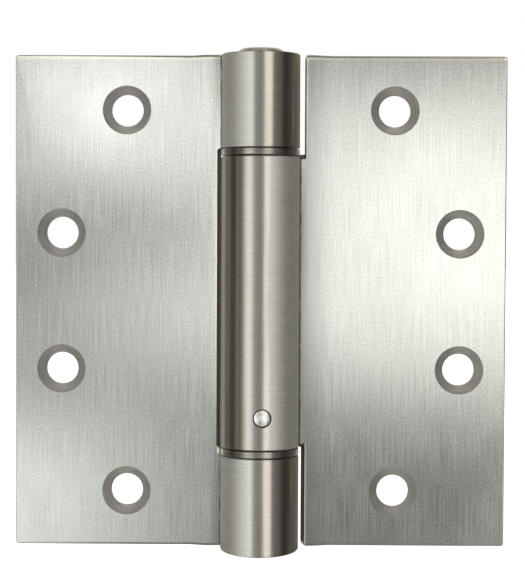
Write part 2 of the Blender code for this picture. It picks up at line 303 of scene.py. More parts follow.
def leaf_steel():
    """A leaf's flat: brushed up and down, cloudy, a painted cream highlight at its top, painted
    shade by a knuckle.
    """
    material, g, shader = new_metal("brushed_leaf", anisotropy=0.66)
    sheet = g.add("ShaderNodeUVMap", uv_map="sheet").outputs["UV"]
    strokes = g.noise(g.stretched(sheet, (4400, 70, 1)), 1.0, 3.0, 0.65)
    dashes = g.noise(g.stretched(sheet, (3600, 1900, 1)), 1.0, 3.0, 0.6)
    clouds = g.noise(g.stretched(sheet, (60, 38, 1)), 1.0, 3.0, 0.6)
    grain = g.blend(0.5, strokes, dashes)
    steel = g.tint(g.ramp(grain, 0.35, 0.65), (0.55, 0.56, 0.535), (0.785, 0.79, 0.755))

    place = g.add("ShaderNodeSeparateXYZ")
    g.feed(place.inputs[0], g.add("ShaderNodeTexCoord").outputs["Object"])
    waver = g.ramp(g.noise(g.stretched(sheet, (0, 300, 1))), 0.3, 0.7, -0.1 * MM, 0.1 * MM)
    reach = g.math("ADD", g.math("ABSOLUTE", place.outputs["X"]), waver)
    front = g.ramp(place.outputs["Y"], *FRONT_SIDE)
    height = g.math("ABSOLUTE", place.outputs["Z"])
    below_edge = g.ramp(height, HALF_HEIGHT, HALF_HEIGHT - EDGE_ROUND)
    face = g.math("MULTIPLY", front, below_edge)
    # painted shade: a thin wavering dark line on the front beside the knuckle
    painted_seam_shade = g.math("MULTIPLY", g.ramp(reach, *PAINTED_SEAM_SHADE_REACH), face)
    shaded = g.ramp(place.outputs["X"], *SHADE_REACH, 0.0, 0.75)
    shaded = g.math("MULTIPLY", shaded, g.ramp(place.outputs["X"], -MM, MM))
    shaded = g.math("MULTIPLY", shaded, front)
    steel = g.tint(shaded, steel, (0.38, 0.385, 0.375))
    # painted highlight: a cream glint along the top of the leaf's front
    painted_glint = g.ramp(place.outputs["Z"], *PAINTED_GLINT_EDGE, 0.0, 0.75)
    painted_glint = g.math("MULTIPLY", painted_glint, g.ramp(clouds, 0.3, 0.5, 0.4, 1.0))
    painted_glint = g.math("MULTIPLY", painted_glint, face)
    steel = g.tint(painted_glint, steel, (0.97, 0.90, 0.77))
    g.feed(shader.inputs["Base Color"], g.tint(painted_seam_shade, steel, (0.10, 0.095, 0.085)))
    rough = g.math(
        "ADD", g.ramp(clouds, 0.3, 0.7, 0.14, 0.17), g.ramp(grain, 0.3, 0.7, -0.01, 0.015)
    )
    g.feed(shader.inputs["Roughness"], rough)
    g.feed(shader.inputs["Normal"], g.bump(strokes, 0.0008 * MM))
    use_sheet_tangent(g, shader)
    return material


def barrel_steel():
    """The rolled knuckles: linished round the barrel, dull near the curl's end, painted shade on
    the flanks.
    """
    material, g, shader = new_metal("linished_barrel", turn=0.25)
    sheet = g.add("ShaderNodeUVMap", uv_map="sheet").outputs["UV"]
    fine = g.noise(g.stretched(sheet, (110, 4200, 1)), 1.0, 3.0, 0.6)
    coarse = g.noise(g.stretched(sheet, (260, 1500, 1)), 1.0, 3.0, 0.6)
    stains = g.noise(g.stretched(sheet, (420, 22, 1)), 1.0, 3.0, 0.6)
    along = g.add("ShaderNodeSeparateXYZ")
    g.feed(along.inputs[0], sheet)
    place = g.add("ShaderNodeSeparateXYZ")
    g.feed(place.inputs[0], g.add("ShaderNodeTexCoord").outputs["Object"])
    dull_start, dull_full = (EDGE + CURL_RADIUS * (angle - pi / 2) for angle in DULL_ANGLES)
    from_middle = g.math("ABSOLUTE", g.math("SUBTRACT", place.outputs["Z"], WORN_HEIGHT))
    worn = g.ramp(from_middle, 1.2 * WORN_REACH, 0.4 * WORN_REACH)
    reach = g.math("ADD", along.outputs["X"], g.math("MULTIPLY", worn, WORN_SHIFT))
    dull = g.ramp(reach, dull_start, dull_full)
    grain = g.blend(0.5, fine, coarse)
    steel = g.tint(g.ramp(grain, 0.3, 0.7), (0.56, 0.525, 0.465), (0.68, 0.65, 0.60))
    steel = g.tint(g.ramp(stains, 0.45, 0.75), steel, (0.52, 0.475, 0.40))
    frosted = g.tint(g.ramp(grain, 0.3, 0.7), (0.88, 0.86, 0.82), (1.0, 0.985, 0.945))
    steel = g.tint(dull, steel, frosted)
    # painted shade: the knuckles darken on the barrel's flanks, less where the finish is dull
    painted_root_shade = g.ramp(g.math("ABSOLUTE", place.outputs["Y"]), *PAINTED_ROOT_SHADE_DEPTHS, 0.0, 0.8)
    painted_root_shade = g.math("MULTIPLY", painted_root_shade, g.blend(dull, 1.0, 0.25))
    g.feed(shader.inputs["Base Color"], g.tint(painted_root_shade, steel, (0.22, 0.205, 0.18)))
    rough = g.math("ADD", g.blend(dull, 0.33, 0.60), g.ramp(grain, 0.3, 0.7, -0.02, 0.025))
    g.feed(shader.inputs["Roughness"], rough)
    g.feed(shader.inputs["Anisotropic"], g.blend(dull, 0.97, 0.1))
    shader.inputs["Specular Tint"].default_value = (0.5, 0.48, 0.44, 1.0)
    g.feed(shader.inputs["Normal"], g.bump(grain, 0.002 * MM))
    use_sheet_tangent(g, shader)
    return material


def hammered_steel():
    """The lock pin's bright head, with the small flats that a hammer leaves."""
    material, g, shader = new_metal("hammered_steel")
    place = g.add("ShaderNodeTexCoord").outputs["Object"]
    cells = g.add("ShaderNodeTexVoronoi", feature="SMOOTH_F1")
    g.feed(cells.inputs["Vector"], place)
    cells.inputs["Scale"].default_value = 750.0
    cells.inputs["Smoothness"].default_value = 0.25
    flats = cells.outputs["Distance"]
    specks = g.noise(place, 4000.0, 2.0, 0.5)
    steel = g.tint(g.ramp(specks, 0.3, 0.7), (0.80, 0.79, 0.78), (0.97, 0.965, 0.96))
    g.feed(shader.inputs["Base Color"], steel)
    g.feed(shader.inputs["Roughness"], g.ramp(specks, 0.3, 0.7, 0.26, 0.38))
    g.feed(shader.inputs["Normal"], g.bump(flats, 0.10 * MM))
    return material


def painted_shade_edge_steel():
    """The cut edges beside the barrel: dull, scored across the sheet, and dark as painted shade in
    the gaps.
    """
    material, g, shader = new_metal("cut_edge")
    place = g.add("ShaderNodeTexCoord").outputs["Object"]
    marks = g.noise(g.stretched(place, (2500, 300, 2500)), 1.0, 3.0, 0.6)
    # painted shade: near-black steel for the deep gaps beside the barrel
    steel = g.tint(g.ramp(marks, 0.3, 0.7), (0.05, 0.048, 0.044), (0.11, 0.105, 0.1))
    g.feed(shader.inputs["Base Color"], steel)
    g.feed(shader.inputs["Roughness"], g.ramp(marks, 0.3, 0.7, 0.55, 0.7))
    g.feed(shader.inputs["Normal"], g.bump(marks, 0.02 * MM))
    return material


def turned_metal(name, dark, light, roughness, pitch, axis="Z", depth=0.01 * MM, sheen=0.0):
    """Metal with fine tool marks that run round an axis, spaced by pitch."""
    material, g, shader = new_metal(name, anisotropy=sheen, turn=0.25 if sheen else 0.0)
    if sheen:
        tangent = g.add("ShaderNodeTangent", direction_type="RADIAL", axis=axis)
        g.feed(shader.inputs["Tangent"], tangent.outputs["Tangent"])
    place = g.add("ShaderNodeTexCoord").outputs["Object"]
    along = tuple(1 / pitch if letter == axis else 1 / (40 * pitch) for letter in "XYZ")
    marks = g.noise(g.stretched(place, along), 1.0, 3.0, 0.6)
    smears = g.noise(place, 400.0, 2.0, 0.5)
    g.feed(shader.inputs["Base Color"], g.tint(g.ramp(marks, 0.3, 0.7), dark, light))
    rough = g.math(
        "ADD",
        g.ramp(smears, 0.3, 0.7, roughness - 0.03, roughness + 0.04),
        g.ramp(marks, 0.3, 0.7, -0.03, 0.03),
    )
    g.feed(shader.inputs["Roughness"], rough)
    g.feed(shader.inputs["Normal"], g.bump(marks, depth))
    return material


# --- mesh helpers -------------------------------------------------------------------------------
def link(obj):
    bpy.context.scene.collection.objects.link(obj)
    return obj


def mesh_from(bm, name):
    bmesh.ops.recalc_face_normals(bm, faces=bm.faces)
    mesh = bpy.data.meshes.new(name)
    bm.to_mesh(mesh)
    bm.free()
    return mesh


def evaluated_mesh(obj, *spent):
    """The object's mesh with its modifiers applied. The object and its cutters are removed."""
    depsgraph = bpy.context.evaluated_depsgraph_get()
    mesh = bpy.data.meshes.new_from_object(obj.evaluated_get(depsgraph))
    for used in (obj, *spent):
        bpy.data.objects.remove(used)
    return mesh


def cut_all(obj, tools):
    for tool in tools:
        boolean = obj.modifiers.new(tool.name, "BOOLEAN")
        boolean.operation = "DIFFERENCE"
        boolean.object = tool


def turned_mesh(name, profile, segments=TURNED_SEGMENTS, closed_on_axis=True):
    """Revolves (radius, z) points about Z: a solid from axis to axis, or else a closed ring."""
    bm = bmesh.new()
    loop = [bm.verts.new((radius, 0, z)) for radius, z in profile]
    ends = zip(loop, loop[1:] if closed_on_axis else loop[1:] + loop[:1])
    edges = [bm.edges.new(pair) for pair in ends]
    bmesh.ops.spin(
        bm,
        geom=loop + edges,
        axis=(0, 0, 1),
        cent=(0, 0, 0),
        angle=2 * pi,
        steps=segments,
        use_merge=True,
    )
    bmesh.ops.remove_doubles(bm, verts=bm.verts, dist=1e-8)
    return mesh_from(bm, name)


def softened(profile, radius, steps=4):
    """The profile with each inner corner replaced by a small curve."""
    points = [Vector(p) for p in profile]
    result = [points[0]]
    for before, corner, after in zip(points, points[1:], points[2:]):
        into, out = (before - corner), (after - corner)
        reach = min(radius, into.length * 0.45, out.length * 0.45)
        start, stop = corner + into.normalized() * reach, corner + out.normalized() * reach
        for i in range(steps + 1):
            share = i / steps
            result.append(
                start * (1 - share) ** 2 + corner * 2 * share * (1 - share) + stop * share**2
            )
    result.append(points[-1])
    return [tuple(p) for p in result]


def finish_piece(name, mesh, materials, body, nodes, sharp=radians(30)):
    if not mesh.materials:
        for material in materials:
            mesh.materials.append(material)
    mesh.shade_smooth()
    mesh.set_sharp_from_angle(angle=sharp)
    obj = link(bpy.data.objects.new(name, mesh))
    if body:
        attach(obj, body)
    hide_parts(*nodes)
    return obj


# --- leaves -------------------------------------------------------------------------------------
def arc_points(centre, radius, start, stop, steps):
    for i in range(steps + 1):
        angle = start + (stop - start) * i / steps
        yield (centre[0] + radius * cos(angle), centre[1] + radius * sin(angle))


def rounded_outline(corners, steps=6):
    """A polygon whose corners are (s, z, radius), each turned into an arc of that radius."""
    outline = []
    for i, (s, z, radius) in enumerate(corners):
        corner = Vector((s, z))
        before = Vector(corners[i - 1][:2]) - corner
        after = Vector(corners[(i + 1) % len(corners)][:2]) - corner
        if radius == 0:
            outline.append(tuple(corner))
            continue
        start = corner + before.normalized() * radius
        stop = corner + after.normalized() * radius
        centre = start + stop - corner
        first = atan2(start.y - centre.y, start.x - centre.x)
        last = atan2(stop.y - centre.y, stop.x - centre.x)
        sweep = (last - first + pi) % (2 * pi) - pi
        outline += arc_points(centre, radius, first, first + sweep, steps)
    return outline


def curl_end(radius):
    """Angle at which the curl meets the leaf: its end is cut parallel to the leaf."""
    return 2 * pi + asin((LEAF_FRONT - SEAM_GAP) / radius)


CURL_START = pi / 2
CURL_STOP = curl_end(CURL_RADIUS)
BLANK_END = EDGE + CURL_RADIUS * (CURL_STOP - CURL_START)
CURL_BLEND = radians(40)


def smooth(share):
    share = min(max(share, 0.0), 1.0)
    return share * share * (3 - 2 * share)


def rolled(s, t, z):
    """Where a point of the blank goes: s along the sheet from its outer edge, t out of its back."""
    if s <= EDGE:
        x = EDGE - s
        width = SWAGE_OUTER - SWAGE_INNER
        share = min(max((SWAGE_OUTER - x) / width, 0.0), 1.0)
        rise = CURL_RADIUS - LEAF_MID
        slope = -rise * 12 * smooth(share) * share * (1 - share) / width
        normal = Vector((-slope, 1)).normalized()
        bend = smooth((BULGE_START - x) / BULGE_BLEND) * smooth(x / BULGE_BLEND)
        near_end = smooth((abs(z) - HALF_HEIGHT + BULGE_HEIGHT) / BULGE_HEIGHT)
        lift = bend * near_end * BEND_BULGE
        y = LEAF_MID + rise * smooth(share) ** 2
        return (x + t * normal.x, y + t * normal.y, z + (lift if z > 0 else -lift))
    radius = CURL_RADIUS + t
    angle = CURL_START + (s - EDGE) / CURL_RADIUS
    closing = smooth((angle - CURL_STOP + CURL_BLEND) / CURL_BLEND)
    angle += closing * (curl_end(radius) - CURL_STOP)
    outward = t / THICKNESS + 0.5
    crown = TOP_CROWN * outward**6 - TOP_RISE * (1 - outward)
    drop = crown if z > 0 else FOOT_DROP * max(-sin(angle), 0.0)
    near_end = smooth((abs(z) - HALF_HEIGHT + RIM_HEIGHT) / RIM_HEIGHT)
    fall = drop * near_end * smooth((s - EDGE) / RIM_BLEND)
    return (radius * cos(angle), radius * sin(angle), z - fall)


def countersink_tool(s, z):
    slope = tan(COUNTERSINK_HALF_ANGLE)
    depth = (COUNTERSINK_RADIUS - SCREW_HOLE_RADIUS) / slope
    mouth = EDGE_BREAK
    profile = (
        (0, -OVERSHOOT),
        (COUNTERSINK_RADIUS + OVERSHOOT, -OVERSHOOT),
        (COUNTERSINK_RADIUS, 0),
        (COUNTERSINK_RADIUS - 1.5 * mouth, mouth),
        (SCREW_HOLE_RADIUS, depth),
        (SCREW_HOLE_RADIUS, THICKNESS - mouth),
        (SCREW_HOLE_RADIUS + mouth, THICKNESS),
        (SCREW_HOLE_RADIUS + mouth + OVERSHOOT, THICKNESS + OVERSHOOT),
        (0, THICKNESS + OVERSHOOT),
    )
    mesh = turned_mesh("countersink", profile, BORE_SEGMENTS)
    tool = link(bpy.data.objects.new("countersink", mesh))
    tool.matrix_world = Matrix.Translation((s, z, -THICKNESS / 2))
    return tool


def flat_blank(name, corners):
    """The sheet before rolling, in (s, z, t), with its holes and rounded edges."""
    bm = bmesh.new()
    face = bm.faces.new(
        [bm.verts.new((s, z, -THICKNESS / 2)) for s, z in rounded_outline(corners)]
    )
    raised = bmesh.ops.extrude_face_region(bm, geom=[face])
    lifted = [item for item in raised["geom"] if isinstance(item, bmesh.types.BMVert)]
    bmesh.ops.translate(bm, verts=lifted, vec=(0, 0, THICKNESS))
    blank = link(bpy.data.objects.new(name, mesh_from(bm, name)))
    bevel = blank.modifiers.new("edges", "BEVEL")
    bevel.width = EDGE_ROUND
    bevel.segments = 3
    bevel.limit_method = "ANGLE"
    bevel.angle_limit = radians(50)
    tools = [countersink_tool(EDGE - reach, z) for reach, z in SCREW_HOLES]
    cut_all(blank, tools)
    return evaluated_mesh(blank, *tools)


def bend_lines():
    """Places along the sheet where it needs an edge across it so that it can bend."""
    flat_steps = int(BEND_REACH / BEND_STEP)
    yield from (EDGE - BEND_REACH + BEND_STEP * i for i in range(flat_steps))
    curl_steps = int((CURL_STOP - CURL_START) / ARC_STEP)
    yield from (EDGE + (BLANK_END - EDGE) * i / curl_steps for i in range(curl_steps))


def wall_share(s, notch):
    """How far a point takes part in the lean of the notch's wall."""
    return smooth((s - notch + WALL_START) / WALL_BLEND)


def jamb_lean(s, z, t):
    """The wall of the jamb leaf's notch leans in behind the middle knuckle."""
    notch = EDGE - JAMB_NOTCH_EDGE
    if abs(z) > KNUCKLE_START + HAIR:
        return s, z
    share = wall_share(s, notch) * smooth((notch + WALL_RELEASE - s) / FLOOR_START)
    return s + JAMB_WALL_LEAN * (t / THICKNESS + 0.5) * share, z


def door_lean(s, z, t):
    """The walls and floors of the door leaf's notches lean in beside the rings."""
    notch, depth = EDGE - DOOR_NOTCH_EDGE, t / THICKNESS + 0.5
    if abs(z) > BARREL_END + 0.1 * MM:
        lean = DOOR_WALL_LEAN if z > 0 else DOOR_LOW_WALL_LEAN
        return s + lean * depth * wall_share(s, notch), z
    share = smooth((abs(z) - BARREL_END + FLOOR_START) / FLOOR_BLEND)
    share *= wall_share(s, notch) * smooth((EDGE - FLOOR_END - s) / FLOOR_START)
    rise = DOOR_FLOOR_LEAN * depth * share
    return s, z + rise if z > 0 else z - rise


def cross_lines():
    """Heights where the sheet needs an edge along it, beside its leaning edges and its rims."""
    for height in (
        BARREL_END - FLOOR_START,
        BARREL_END - FLOOR_START / 2,
        HALF_HEIGHT - RIM_HEIGHT,
        HALF_HEIGHT - 0.6 * RIM_HEIGHT,
    ):
        yield from (height, -height)


def drill(name, radius, depths, height, angle, segments):
    """A round cutter along a radius of the barrel, between two distances from the pin axis."""
    low, high = depths
    profile = ((0, low), (radius, low), (radius, high), (0, high))
    tool = link(bpy.data.objects.new(name, turned_mesh(name, profile, segments)))
    tool.rotation_euler = Euler((0, pi / 2, angle))
    tool.location = (0, 0, height)
    return tool


def lock_hole_tool():
    hole = (LOCK_HOLE_RADIUS, LOCK_HOLE_DEPTHS, LOCK_PIN_HEIGHT, LOCK_PIN_ANGLE)
    return drill("lock_hole", *hole, LOCK_SEGMENTS)


def anchor_hole_tool():
    hole = (ANCHOR_HOLE_RADIUS, ANCHOR_HOLE_DEPTHS, ANCHOR_PIN_HEIGHT, ANCHOR_PIN_ANGLE)
    return drill("anchor_hole", *hole, PIN_SEGMENTS)


LEAF_FACE, BARREL_FACE, HOLE_FACE, PAINTED_SHADE_EDGE_FACE = 0, 1, 2, 3


def face_kind(centre, normal):
    """Which finish a face of the blank has."""
    s, z, _ = centre
    for reach, height in SCREW_HOLES:
        near = sqrt((s - EDGE + reach) ** 2 + (z - height) ** 2)
        if near < COUNTERSINK_RADIUS + EDGE_BREAK and abs(normal.z) < 0.99:
            return HOLE_FACE
    if s > EDGE - LINISHED_START:
        return BARREL_FACE
    beside_barrel = s > EDGE - DOOR_NOTCH_EDGE - 0.05 * MM and abs(z) < HALF_HEIGHT - RIM_HEIGHT
    # cut edges beside the barrel take the painted-shade steel
    return PAINTED_SHADE_EDGE_FACE if beside_barrel and abs(normal.z) < 0.5 else LEAF_FACE


def make_leaf(name, side, body, corners, lean, hole_tool, materials):
    flat = flat_blank(name, corners)
    bm = bmesh.new()
    bm.from_mesh(flat)
    cuts = [((s, 0, 0), (1, 0, 0)) for s in bend_lines()]
    cuts += [((0, z, 0), (0, 1, 0)) for z in cross_lines()]
    for place, direction in cuts:
        everything = bm.verts[:] + bm.edges[:] + bm.faces[:]
        bmesh.ops.bisect_plane(bm, geom=everything, dist=1e-8, plane_co=place, plane_no=direction)
    bm.normal_update()
    uv = bm.loops.layers.uv.new("sheet")
    for face in bm.faces:
        face.material_index = face_kind(face.calc_center_median(), face.normal)
        for loop in face.loops:
            s, z, t = loop.vert.co
            loop[uv].uv = (s + 0.4 * t, z + 0.4 * t)
    for vert in bm.verts:
        s, z, t = vert.co
        s, z = lean(s, z, t)
        x, y, height = rolled(s, t, z)
        vert.co = (side * x, y, height)
    mesh = mesh_from(bm, name)
    holder = link(bpy.data.objects.new(name + "_rolled", mesh))
    for material in materials:
        mesh.materials.append(material)
    cut_all(holder, [hole_tool])
    mesh = evaluated_mesh(holder, hole_tool)
    piece = finish_piece(name + "_sheet", mesh, materials, body, [name])
    weighted = piece.modifiers.new("flat faces lead", "WEIGHTED_NORMAL")
    weighted.keep_sharp = True
    return piece


def make_jamb_leaf(materials):
    notch = EDGE - JAMB_NOTCH_EDGE
    corners = [
        (0, -HALF_HEIGHT, CORNER_ROUND),
        (BLANK_END, -HALF_HEIGHT, 0),
        (BLANK_END, -KNUCKLE_START, 0),
        (EDGE - BESIDE_RING, -KNUCKLE_START, 0),
        (EDGE - BESIDE_RING, -RING_SHOULDER, 0),
        (notch, -RING_SHOULDER, NOTCH_ROUND),
        (notch, KNUCKLE_START, NOTCH_ROUND),
        (BLANK_END, KNUCKLE_START, 0),
        (BLANK_END, HALF_HEIGHT, 0),
        (0, HALF_HEIGHT, CORNER_ROUND),
    ]
    make_leaf("jamb_leaf", -1, "jamb", corners, jamb_lean, anchor_hole_tool(), materials)


def make_door_leaf(materials):
    notch = EDGE - DOOR_NOTCH_EDGE
    corners = [
        (0, -HALF_HEIGHT, CORNER_ROUND),
        (notch, -HALF_HEIGHT, CORNER_ROUND),
        (notch, -BARREL_END, 0),
        (BLANK_END, -BARREL_END, 0),
        (BLANK_END, BARREL_END, 0),
        (notch, BARREL_END, 0),
        (notch, HALF_HEIGHT, CORNER_ROUND),
        (0, HALF_HEIGHT, CORNER_ROUND),
    ]
    make_leaf("door_leaf", 1, "door", corners, door_lean, lock_hole_tool(), materials)


# --- turned pieces ------------------------------------------------------------------------------
def make_ring(node, body, side, material):
    low, high = sorted((side * (RING_FOOT + RING_SHRINK), side * (RING_HEAD - RING_SHRINK)))
    flank = (low + high) / 2
    half_ring = [
        (RING_BORE, flank),
        (RING_BORE, low),
        (BARREL_RADIUS, low),
        (BARREL_RADIUS, high),
        (RING_BORE, high),
        (RING_BORE, flank + HAIR),
    ]
    profile = softened(half_ring, RING_SOFTNESS)
    mesh = turned_mesh(node, profile, TURNED_SEGMENTS, closed_on_axis=False)
    finish_piece(node + "_turned", mesh, [material], body, [node])


def make_top_plug(material):
    pintle_foot = PLUG_FOOT + NOSE_HEIGHT
    profile = [
        (0, PROUD_END),
        (PLUG_RADIUS - END_BEVEL, PROUD_END),
        (PLUG_RADIUS, HALF_HEIGHT + PLUG_WALL),
        (PLUG_RADIUS, PLUG_SHOULDER),
        (PINTLE_RADIUS, PLUG_SHOULDER),
        (PINTLE_RADIUS, pintle_foot),
        (NOSE_RADIUS, pintle_foot),
        (NOSE_RADIUS, PLUG_FOOT),
        (0, PLUG_FOOT),
    ]
    mesh = turned_mesh("top_plug", softened(profile, PLUG_SOFTNESS))
    plug = link(bpy.data.objects.new("top_plug_blank", mesh))
    slot = slot_tool(PLUG_FOOT - OVERSHOOT, pintle_foot - SLOT_FLOOR)
    anchor = anchor_hole_tool()
    cut_all(plug, [slot, anchor])
    mesh = evaluated_mesh(plug, slot, anchor)
    finish_piece("top_plug_turned", mesh, [material], "jamb", ["top_plug"])


def slot_tool(low, high):
    bm = bmesh.new()
    bmesh.ops.create_cube(bm, size=1.0)
    for vert in bm.verts:
        vert.co.x *= SLOT_LENGTH
        vert.co.y *= SLOT_WIDTH
        vert.co.z = high if vert.co.z > 0 else low
    return link(bpy.data.objects.new("slot", mesh_from(bm, "slot")))


def hex_tool(mouth, depth, across_flats):
    bm = bmesh.new()
    corner = across_flats / 2 / cos(pi / 6)
    rings = []
    levels = ((corner * 1.5, mouth - OVERSHOOT), (corner, mouth + HEX_LEAD_IN), (corner, depth))
    for radius, z in levels:
        ring = [
            bm.verts.new((radius * cos(pi / 3 * i), radius * sin(pi / 3 * i), z)) for i in range(6)
        ]
        rings.append(ring)
    for lower, upper in zip(rings, rings[1:]):
        for i in range(6):
            bm.faces.new((lower[i], lower[(i + 1) % 6], upper[(i + 1) % 6], upper[i]))
    bm.faces.new(rings[0])
    bm.faces.new(rings[-1])
    return link(bpy.data.objects.new("hexagon", mesh_from(bm, "hexagon")))


def make_winder(material):
    end = -PROUD_END
    collar_top = WINDER_TOP - NOSE_HEIGHT
    profile = [
        (0, WINDER_TOP),
        (NOSE_RADIUS, WINDER_TOP),
        (NOSE_RADIUS, collar_top),
        (COLLAR_RADIUS, collar_top),
        (COLLAR_RADIUS, -BARREL_END),
        (PINTLE_RADIUS, -BARREL_END),
        (PINTLE_RADIUS, end + SHAFT_CHAMFER),
        (PINTLE_RADIUS - SHAFT_CHAMFER, end),
        (0, end),
    ]
    mesh = turned_mesh("winder", softened(profile, WINDER_SOFTNESS))
    winder = link(bpy.data.objects.new("winder_blank", mesh))
    tools = [
        slot_tool(collar_top + SLOT_FLOOR, WINDER_TOP + OVERSHOOT),
        hex_tool(end, end + HEX_DEPTH, HEX_ACROSS_FLATS),
    ]
    for i in range(WINDER_HOLES):
        angle = LOCK_PIN_ANGLE + 2 * pi * i / WINDER_HOLES
        hole = (WINDER_HOLE_RADIUS, WINDER_HOLE_DEPTHS, LOCK_PIN_HEIGHT, angle)
        tools.append(drill("winder_hole", *hole, PIN_SEGMENTS))
    cut_all(winder, tools)
    mesh = evaluated_mesh(winder, *tools)
    finish_piece("winder_turned", mesh, [material], "door", ["winder"])


def make_bush(node, body, material):
    low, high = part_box(node)
    outer, inner = high.x, PINTLE_RADIUS + BUSH_GAP
    middle = (low.z + high.z) / 2
    ring = [
        (inner, middle),
        (inner, low.z),
        (outer, low.z),
        (outer, high.z),
        (inner, high.z),
        (inner, middle + HAIR),
    ]
    profile = softened(ring, BUSH_SOFTNESS)
    mesh = turned_mesh(node, profile, BORE_SEGMENTS, closed_on_axis=False)
    finish_piece(node + "_turned", mesh, [material], body, [node])


def make_lock_pin(material):
    length = BARREL_RADIUS - LOCK_PIN_FOOT
    sphere = (LOCK_PIN_RADIUS**2 + LOCK_PIN_CROWN**2) / (2 * LOCK_PIN_CROWN)
    half_angle = asin(LOCK_PIN_RADIUS / sphere)
    steps = 16
    crown = [
        (
            sphere * sin(half_angle * (1 - i / steps)),
            length - sphere * (1 - cos(half_angle * (1 - i / steps))),
        )
        for i in range(steps)
    ]
    profile = [
        (0, 0),
        (LOCK_PIN_RADIUS - LOCK_PIN_CHAMFER, 0),
        (LOCK_PIN_RADIUS, LOCK_PIN_CHAMFER),
        *crown,
        (0, length),
    ]
    mesh = turned_mesh("lock_pin", profile, LOCK_SEGMENTS)
    turn = Euler((0, pi / 2, LOCK_PIN_ANGLE)).to_matrix().to_4x4()
    across = (LOCK_PIN_FOOT * cos(LOCK_PIN_ANGLE), LOCK_PIN_FOOT * sin(LOCK_PIN_ANGLE))
    mesh.transform(Matrix.Translation((*across, LOCK_PIN_HEIGHT)) @ turn)
    finish_piece(
        "lock_pin_turned", mesh, [material], "lock_pin", ["lock_pin"], radians(60)
    )


def make_anchor_pin(material):
    low, high = ANCHOR_PIN_FOOT, BARREL_RADIUS - ANCHOR_PIN_RECESS
    profile = [(0, low), (ANCHOR_PIN_RADIUS, low), (ANCHOR_PIN_RADIUS, high), (0, high)]
    mesh = turned_mesh("anchor_pin", softened(profile, ANCHOR_PIN_SOFTNESS), PIN_SEGMENTS)
    turn = Euler((0, pi / 2, ANCHOR_PIN_ANGLE)).to_matrix().to_4x4()
    mesh.transform(Matrix.Translation((0, 0, ANCHOR_PIN_HEIGHT)) @ turn)
    finish_piece("anchor_pin_turned", mesh, [material], "jamb", ["anchor_pin"])


def make_spring(material):
    """A close-wound coil whose ends turn in across the middle."""
    low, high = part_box("torsion_spring")
    bottom, top = low.z + WIRE_RADIUS, high.z - WIRE_RADIUS
    bend_x = sqrt((COIL_RADIUS - HOOK_RADIUS) ** 2 - HOOK_RADIUS**2)
    leaves_coil = atan2(-HOOK_RADIUS, bend_x)
    hook = [
        (bend_x + HOOK_RADIUS * cos(a), -HOOK_RADIUS + HOOK_RADIUS * sin(a))
        for a in (
            leaves_coil + (pi / 2 - leaves_coil) * i / HOOK_SEGMENTS
            for i in range(1, HOOK_SEGMENTS + 1)
        )
    ]
    hook.append((-HOOK_TIP, 0))
    start, stop = -leaves_coil, 2 * pi * COIL_TURNS + leaves_coil
    count = COIL_TURNS * COIL_SEGMENTS
    centre = [(x, -y, bottom) for x, y in reversed(hook)]
    for i in range(count + 1):
        angle = start + (stop - start) * i / count
        height = bottom + (top - bottom) * i / count
        centre.append((COIL_RADIUS * cos(angle), COIL_RADIUS * sin(angle), height))
    centre += [(x, y, top) for x, y in hook]
    curve = bpy.data.curves.new("spring_wire", "CURVE")
    curve.dimensions = "3D"
    curve.bevel_depth = WIRE_RADIUS
    curve.bevel_resolution = 4
    curve.use_fill_caps = True
    spline = curve.splines.new("POLY")
    spline.points.add(len(centre) - 1)
    for knot, point in zip(spline.points, centre):
        knot.co = (*point, 1.0)
    mesh = evaluated_mesh(link(bpy.data.objects.new("spring_wire", curve)))
    spring = finish_piece(
        "torsion_spring_wire", mesh, [material], None, ["torsion_spring"]
    )
    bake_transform(spring)


# --- camera, light and floor --------------------------------------------------------------------
def make_camera():
    data = bpy.data.cameras.new("camera")
    data.sensor_width = 36
    data.lens = LENS
    camera = link(bpy.data.objects.new("camera", data))
    heading = Matrix.Rotation(CAMERA_HEADING, 4, "Z")
    pitch = Matrix.Rotation(pi / 2 + CAMERA_PITCH, 4, "X")
    roll = Matrix.Rotation(CAMERA_ROLL, 4, "Z")
    place = Matrix.Translation(CAMERA_PLACE)
    camera.matrix_world = place @ heading @ pitch @ roll
    bpy.context.scene.camera = camera


class Panel(NamedTuple):
    """A softbox as a patch of sky, in degrees. Azimuth 0 is the camera's side, and +90 is +X."""

    azimuth: float
    half_width: float
    elevation: float
    half_height: float
    strength: float
    fade: float


PANELS = {
    "left_window": Panel(-34, 14, 1, 46, 1.36, 11),
    "right_window": Panel(24, 12, 0, 46, 1.3, 2),
    "right_spill": Panel(52, 16, 0, 46, 0.14, 6),
    "left_shade": Panel(-62, 14, 0, 46, 0.13, 5),
    "left_sliver": Panel(-72, 1.5, 0, 46, 0.3, 1.5),
    "left_flank": Panel(-122, 20, 0, 46, 0.15, 7),
    "right_flank": Panel(118, 18, 0, 46, 0.08, 7),
    "left_glow": Panel(-11.5, 4.0, 1.5, 4.0, 0.16, 3),
    "front_band": Panel(5.3, 4.7, -0.2, 4.6, 2.0, 7.5),
    "high_glow": Panel(-5.6, 2.75, 4.7, 2.65, 2.1, 0.8),
    "middle_glow": Panel(-4.5, 2.6, -2.8, 1.6, 0.8, 0.8),
    "low_glow": Panel(-11.3, 6.4, -9.2, 3.3, 1.2, 1.2),
}


def panel_light(g, azimuth, elevation, panel):
    """The light of one panel in a direction, fading smoothly across its borders."""
    aside = g.math("ABSOLUTE", g.math("SUBTRACT", azimuth, panel.azimuth))
    above = g.math("ABSOLUTE", g.math("SUBTRACT", elevation, panel.elevation))
    soft = 0.45 * panel.half_height + 0.3
    across = g.ramp(aside, panel.half_width - panel.fade, panel.half_width + panel.fade, 1.0, 0.0)
    along = g.ramp(above, panel.half_height - soft, panel.half_height + soft, 1.0, 0.0)
    return g.math("MULTIPLY", g.math("MULTIPLY", across, along), panel.strength)


